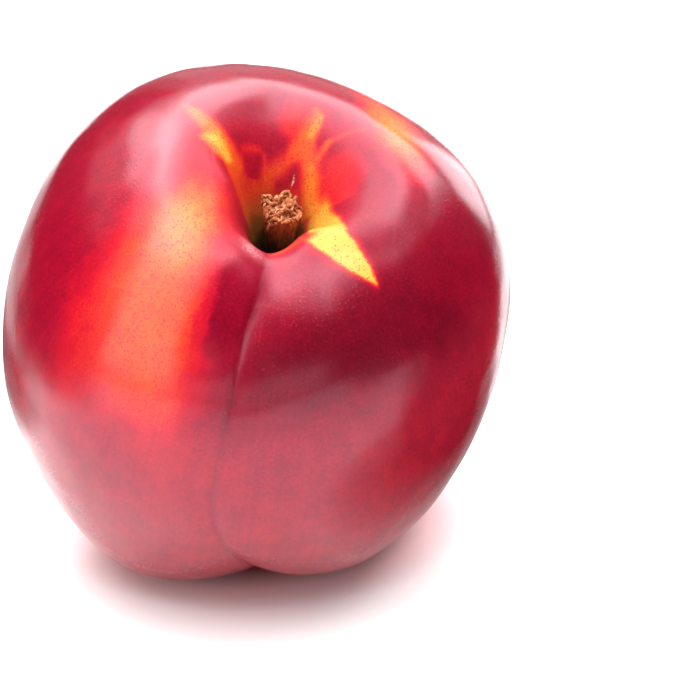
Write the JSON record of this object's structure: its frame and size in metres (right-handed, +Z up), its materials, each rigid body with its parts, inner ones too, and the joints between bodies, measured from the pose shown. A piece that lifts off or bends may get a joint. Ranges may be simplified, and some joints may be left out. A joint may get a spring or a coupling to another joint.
{
  "type": "nectarine",
  "caption": "Whole smooth-skinned nectarine with a torn stub of stalk in its cavity, leaning forward on its lobes with the suture in front.",
  "frame": {"origin": "at the level of the flat spot that the fruit rests on, under the middle of its extent along X and Y", "axes": "+Z up, +X to the right, and the suture faces -Y. The stalk's axis leans 28 degrees from +Z towards -Y and 5 degrees towards +X"},
  "size_m": [0.0712, 0.0694, 0.069],
  "materials": {
    "skin": "waxy, smooth and softly glossy",
    "stalk_wood": "dry, torn and matt"
  },
  "bodies": {
    "root": {"fruit": "skin", "stalk": "stalk_wood"}
  },
  "joints": []
}
